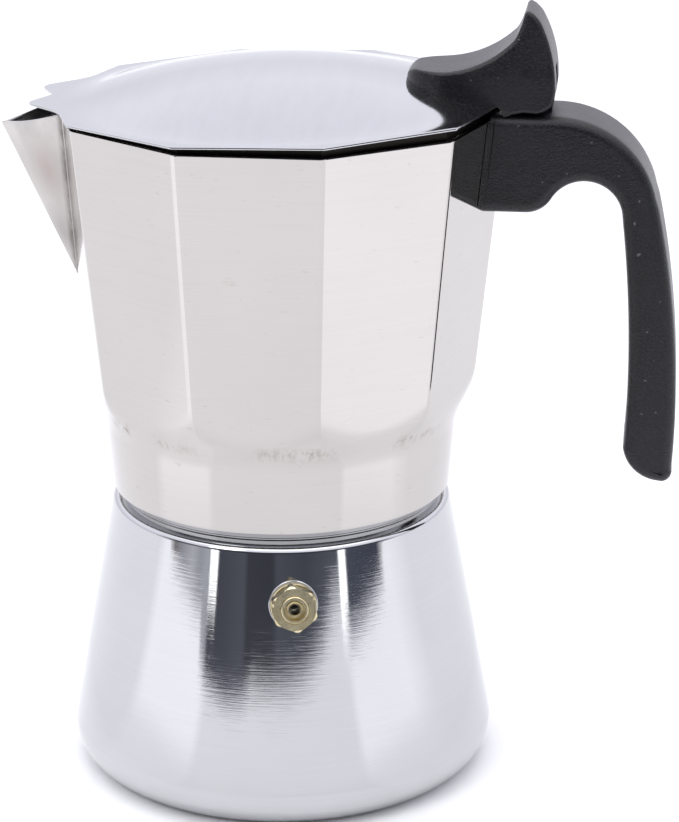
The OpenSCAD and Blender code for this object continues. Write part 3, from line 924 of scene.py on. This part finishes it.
# Arcs of the thumb piece's side view: each centre in X and Z, then the radius
NOSE = ((33.6, 174), 3)
SADDLE = ((38, 202), 25)
FIN = ((33.4, 173.6), 32.4)
FIN_TIP = ((59.3, 190.15), TIP_ROUND)
HINGE_REST = (HINGE, 5.3)

# The piece narrows by TIP_THIN on each side from THIN_FROM over the next THIN_OVER of height
TIP_THIN, THIN_FROM, THIN_OVER = 3.0, 177, 15
# Up to here the underside follows the lid's dome
ON_LID_X = 54


def even(path, count):
    """A path resampled to count + 1 points at even distances."""
    points = [Vector(p) for p in path]
    reach = [0.0]
    for a, b in zip(points, points[1:]):
        reach.append(reach[-1] + (b - a).length)
    made, k = [], 0
    for target in steps(0.0, reach[-1], count):
        while k < len(points) - 2 and reach[k + 1] < target:
            k += 1
        share = (target - reach[k]) / max(reach[k + 1] - reach[k], 1e-9)
        made.append(points[k].lerp(points[k + 1], min(share, 1.0)))
    return made


def evened(parts):
    """Three joined stretches of outline with a fixed number of points on each."""
    points = []
    for part, count in zip(parts, (26, 10, 16)):
        points.extend(even(part, count)[1 if points else 0:])
    return points


def thumb_sides():
    """The side view's top and bottom edges, both from the nose to the tip, with matching points."""
    nose_foot = (NOSE_X, 170.5)
    seat = (51, 166)
    rise = bend((55.68, 184.32), (56.92, 185.56), (58.24, 190.4), 8)
    over = [[nose_foot] + arc(*NOSE, 180, 95, 10) + arc(*SADDLE, -90, -60, 20),
            arc(*SADDLE, -60, -45, 8),
            rise + arc(*FIN_TIP, 165, 95, 6)]
    under = [[nose_foot, (NOSE_X, seat[1]), seat],
             [seat, (57.5, 167.8)] + arc(*HINGE_REST, -110, -32, 10),
             [(66, 171.8)] + arc(*FIN, 0, 29, 20) + arc(*FIN_TIP, 25, 95, 6)]
    return evened(over), evened(under)


def thumb():
    """The saddle-shaped lift on the lid: half-round nose, hollow top and a tip that narrows."""
    def formed(p):
        wide = HANDLE_HALF - TIP_THIN * min(max((p.z - THIN_FROM) / THIN_OVER, 0.0), 1.0)
        back = HANDLE_HALF - (p.x - NOSE_X)
        if back > 0:
            wide = min(wide, math.sqrt(max(HANDLE_HALF ** 2 - back ** 2, 0.0)))
        y = p.y * wide / HANDLE_HALF
        sunk = lid_top(p.x, y) - 0.25 if p.x < ON_LID_X else 0.0
        return Vector((p.x, y, max(p.z, sunk)))
    top, bottom = thumb_sides()
    shape, cut = Shape(), Shape()
    rounded_bar(shape, top + bottom[-2:0:-1], HANDLE_HALF, THUMB_ROUND, formed, ladder=len(top) - 1)
    slot_r, depth = LUG_R + 0.6, 10
    slot = [(HINGE[0] - slot_r, HINGE[1] - depth)] + arc(HINGE, slot_r, 180, 90, 8)
    slot += [(HINGE[0] + depth, HINGE[1] + slot_r), (HINGE[0] + depth, HINGE[1] - depth)]
    rounded_bar(cut, slot, LUG_HALF + 0.4, 0.02)
    piece("lid_lift", shape, "lid", ["thumb_piece"], PLASTIC, sharp=40, cuts=[cut])


# ---- everything together ----

# What the CAD nodes that stay are made of. The lid's skirt and the valve's poppet and spring are near-black:
# painted shade in the gap under the lid and in the valve's bore.
CARRIED_OVER = [
    (SKIRT_PAINTED_SHADE, ["lid_skirt"]),
    (BRASS, ["valve_nut", "valve_seat"]),
    (SILICONE, ["gasket"]),
    (VALVE_BORE_SHADE, ["valve_poppet", "valve_spring"]),
    (BRIGHT, ["handle_bracket", "handle_screw", "lid_screws", "hinge_pin"]),
    (INNER, ["funnel_cup", "funnel_stem", "funnel_strainer", "filter_plate", "jug_floor", "column",
             "column_cap"]),
]

for make in (boiler, neck, seal, valve, jug, spout, thread_ring, lid, handle, thumb):
    make()
for material, nodes in CARRIED_OVER:
    for node in nodes:
        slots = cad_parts[node].data.materials
        slots.clear()
        slots.append(material)

# ---- stage, light and camera ----

# The floor's front edge: degrees to the right of -Y, and how far it is from the pot in metres
FLOOR_EDGE = [(-70, 6), (-67, 0.76), (-42, 0.74), (-39.5, 0.50), (-37, 0.45), (-24, 0.43), (-15, 0.48),
              (-10, 0.60), (8, 0.62), (20, 0.70), (30, 0.86), (38, 1.25), (43, 1.3), (47, 0.72),
              (73, 0.74), (77, 6)]
FLOOR_SIDE, FLOOR_BACK = 6, 8

# Colours of the room that the steel reflects, by degrees to the right of -Y: at eye height, then higher
BACK_WALL, SIDE_WALL, WALL_END = (1.22, 1.22, 1.34), (1.1, 1.1, 1.2), (1.0, 1.0, 1.05)
CEILING = (2.25, 2.25, 2.3)
LOW_ROOM = [
    (-180, BACK_WALL), (-90, SIDE_WALL), (-68, WALL_END), (-66, (0.34, 0.30, 0.30)),
    (-60, (0.55, 0.56, 0.62)), (-52, (0.80, 0.82, 0.88)), (-46, (0.58, 0.60, 0.66)),
    (-40, (0.75, 0.77, 0.84)), (-38, (0.10, 0.107, 0.135)), (-16, (0.15, 0.16, 0.20)),
    (-14, (0.085, 0.09, 0.11)), (2, (0.075, 0.08, 0.10)), (4, (0.13, 0.14, 0.175)),
    (22, (0.10, 0.11, 0.14)), (41, (0.15, 0.16, 0.20)), (52, (0.11, 0.125, 0.17)),
    (72, (0.09, 0.10, 0.14)), (75, WALL_END), (100, (1.15, 1.15, 1.26)), (180, BACK_WALL)]
HIGH_ROOM = [
    (-180, BACK_WALL), (-85, SIDE_WALL), (-66, (0.10, 0.105, 0.13)), (-46, (0.30, 0.30, 0.33)),
    (-38, (0.14, 0.14, 0.16)), (-20, (0.06, 0.064, 0.08)), (30, (0.07, 0.074, 0.09)),
    (74, (0.10, 0.105, 0.13)), (90, SIDE_WALL), (180, BACK_WALL)]

# The strips of light that the boiler reflects: distance in metres and radiance
STRIP_FAR = 0.95
STRIP_GLOW = 2.3
CAMERA_AT = (0.0897, -0.6637, 0.3200)
CAMERA_AIM = (-0.10648, 0.93939, -0.32590)
CAMERA_LENS = 152.4


def floor_point(degrees, far):
    """A point of the floor, by its direction in degrees to the right of -Y and its distance."""
    return (far * math.sin(math.radians(degrees)), -far * math.cos(math.radians(degrees)), 0)


def floor():
    """Pale paper with painted light: lighter in two sectors in front as pools of light, and lighter close to
    the pot, filling in its contact shadow; its front edge only shows in the steel.
    """
    g = Graph("floor_paper")
    fibre = g.noise(even_noise(900), detail=3.0)
    degrees = g.heading(g.place)
    sectors = g.math("ADD", g.between(degrees, -77, -71, -38, -34), g.between(degrees, 44, 48, 78, 94))
    away = g.distance()
    # Painted light: the two sectors are lighter, as pools of light on the paper.
    lit = g.math("MULTIPLY", sectors, g.span(away, 0.15, 0.22, 0.25, 1))
    paper = g.mix(g.span(fibre, 0.3, 0.7), grey(0.79), grey(0.81))
    # Painted light: the paper is lighter close to the pot, filling in its contact shadow.
    paper = g.mix(g.span(away, 0.055, 0.11, 1, 0), paper, grey(0.96))
    material = g.set(Base_Color=g.mix(lit, paper, grey(0.98)), Roughness=0.75, Normal=g.bump(fibre, 0.01))
    outline = [(-FLOOR_SIDE, FLOOR_BACK, 0), (-FLOOR_SIDE, 0, 0)]
    outline += [floor_point(*edge) for edge in FLOOR_EDGE]
    outline += [(FLOOR_SIDE, 0, 0), (FLOOR_SIDE, FLOOR_BACK, 0)]
    mesh = bpy.data.meshes.new("floor")
    mesh.from_pydata(outline, [], [tuple(range(len(outline)))])
    mesh.materials.append(material)
    made = bpy.data.objects.new("floor", mesh)
    scene.collection.objects.link(made)


def room_ramp(g, turn, stops):
    """Colour by turn, which is 0 to 1 for -180 to 180 degrees, as in stops."""
    made = g.node("ShaderNodeValToRGB")
    g.feed(made.inputs[0], turn)
    elements = made.color_ramp.elements
    while len(elements) > 1:
        elements.remove(elements[-1])
    for i, (degrees, colour) in enumerate(stops):
        position = (degrees + 180) / 360
        element = elements[0] if i == 0 else elements.new(position)
        element.position = position
        element.color = (*colour, 1)
    return made.outputs[0]


def studio():
    """White surround: white where the camera looks past the floor, and a darker room in front."""
    world = bpy.data.worlds.new("studio")
    scene.world = world
    world.use_nodes = True
    g = Nodes(world.node_tree)
    way = g.node("ShaderNodeTexCoord").outputs["Generated"]
    turn = g.span(g.heading(way), -180, 180)
    # Sine of the elevation
    height = g.split(way)[Z]
    walls = g.mix(g.span(height, 0.03, 0.07), room_ramp(g, turn, LOW_ROOM), room_ramp(g, turn, HIGH_ROOM))
    upper = g.mix(g.span(height, 0.34, 0.50), walls, (*BACK_WALL, 1))
    all_round = g.mix(g.span(height, 0.74, 0.92), upper, (*CEILING, 1))
    seen_in_steel = g.tree.nodes["Background"]
    g.feed(seen_in_steel.inputs["Color"], all_round)
    g.feed(seen_in_steel.inputs["Strength"], g.span(height, 0.20, 0.40, 0.82, 1.0))
    seen_past_floor = g.node("ShaderNodeBackground")
    g.feed(seen_past_floor.inputs["Color"], (1, 1, 1, 1))
    g.feed(seen_past_floor.inputs["Strength"], 1.05)
    pick = g.node("ShaderNodeMixShader")
    g.feed(pick.inputs[0], g.node("ShaderNodeLightPath").outputs["Is Camera Ray"])
    g.feed(pick.inputs[1], seen_in_steel.outputs[0])
    g.feed(pick.inputs[2], seen_past_floor.outputs[0])
    g.feed(g.tree.nodes["World Output"].inputs["Surface"], pick.outputs[0])


def area_light(name, place, target, size, power):
    """A rectangle of light that the camera doesn't see itself."""
    light = bpy.data.lights.new(name, "AREA")
    light.shape = "RECTANGLE"
    light.size, light.size_y = size
    light.energy = power
    made = bpy.data.objects.new(name, light)
    made.location = place
    made.rotation_euler = (Vector(target) - Vector(place)).to_track_quat("-Z", "Y").to_euler()
    made.visible_camera = False
    scene.collection.objects.link(made)


def strip_light(name, degrees, width, tall):
    """A strip standing on the floor in front, degrees to the right of -Y; the boiler reflects it."""
    x, y, _ = floor_point(degrees, STRIP_FAR)
    power = STRIP_GLOW * math.pi * width * tall
    area_light(name, (x, y, tall / 2), (0, 0, tall / 2), (width, tall), power)


def camera():
    data = bpy.data.cameras.new("camera")
    data.sensor_fit = "HORIZONTAL"
    data.sensor_width = 36.0
    data.lens = CAMERA_LENS
    data.clip_start, data.clip_end = 0.01, 50.0
    made = bpy.data.objects.new("camera", data)
    made.location = CAMERA_AT
    made.rotation_euler = Vector(CAMERA_AIM).to_track_quat("-Z", "Y").to_euler()
    scene.collection.objects.link(made)
    scene.camera = made


floor()
studio()
area_light("soft_key", (-0.7, -1.0, 1.1), (0.03, 0, 0.15), (0.5, 0.5), 3.2)
strip_light("left_strip", -35.5, 0.085, 0.10)
strip_light("right_strip", 45.5, 0.075, 0.12)
camera()
scene.view_settings.view_transform = "Standard"
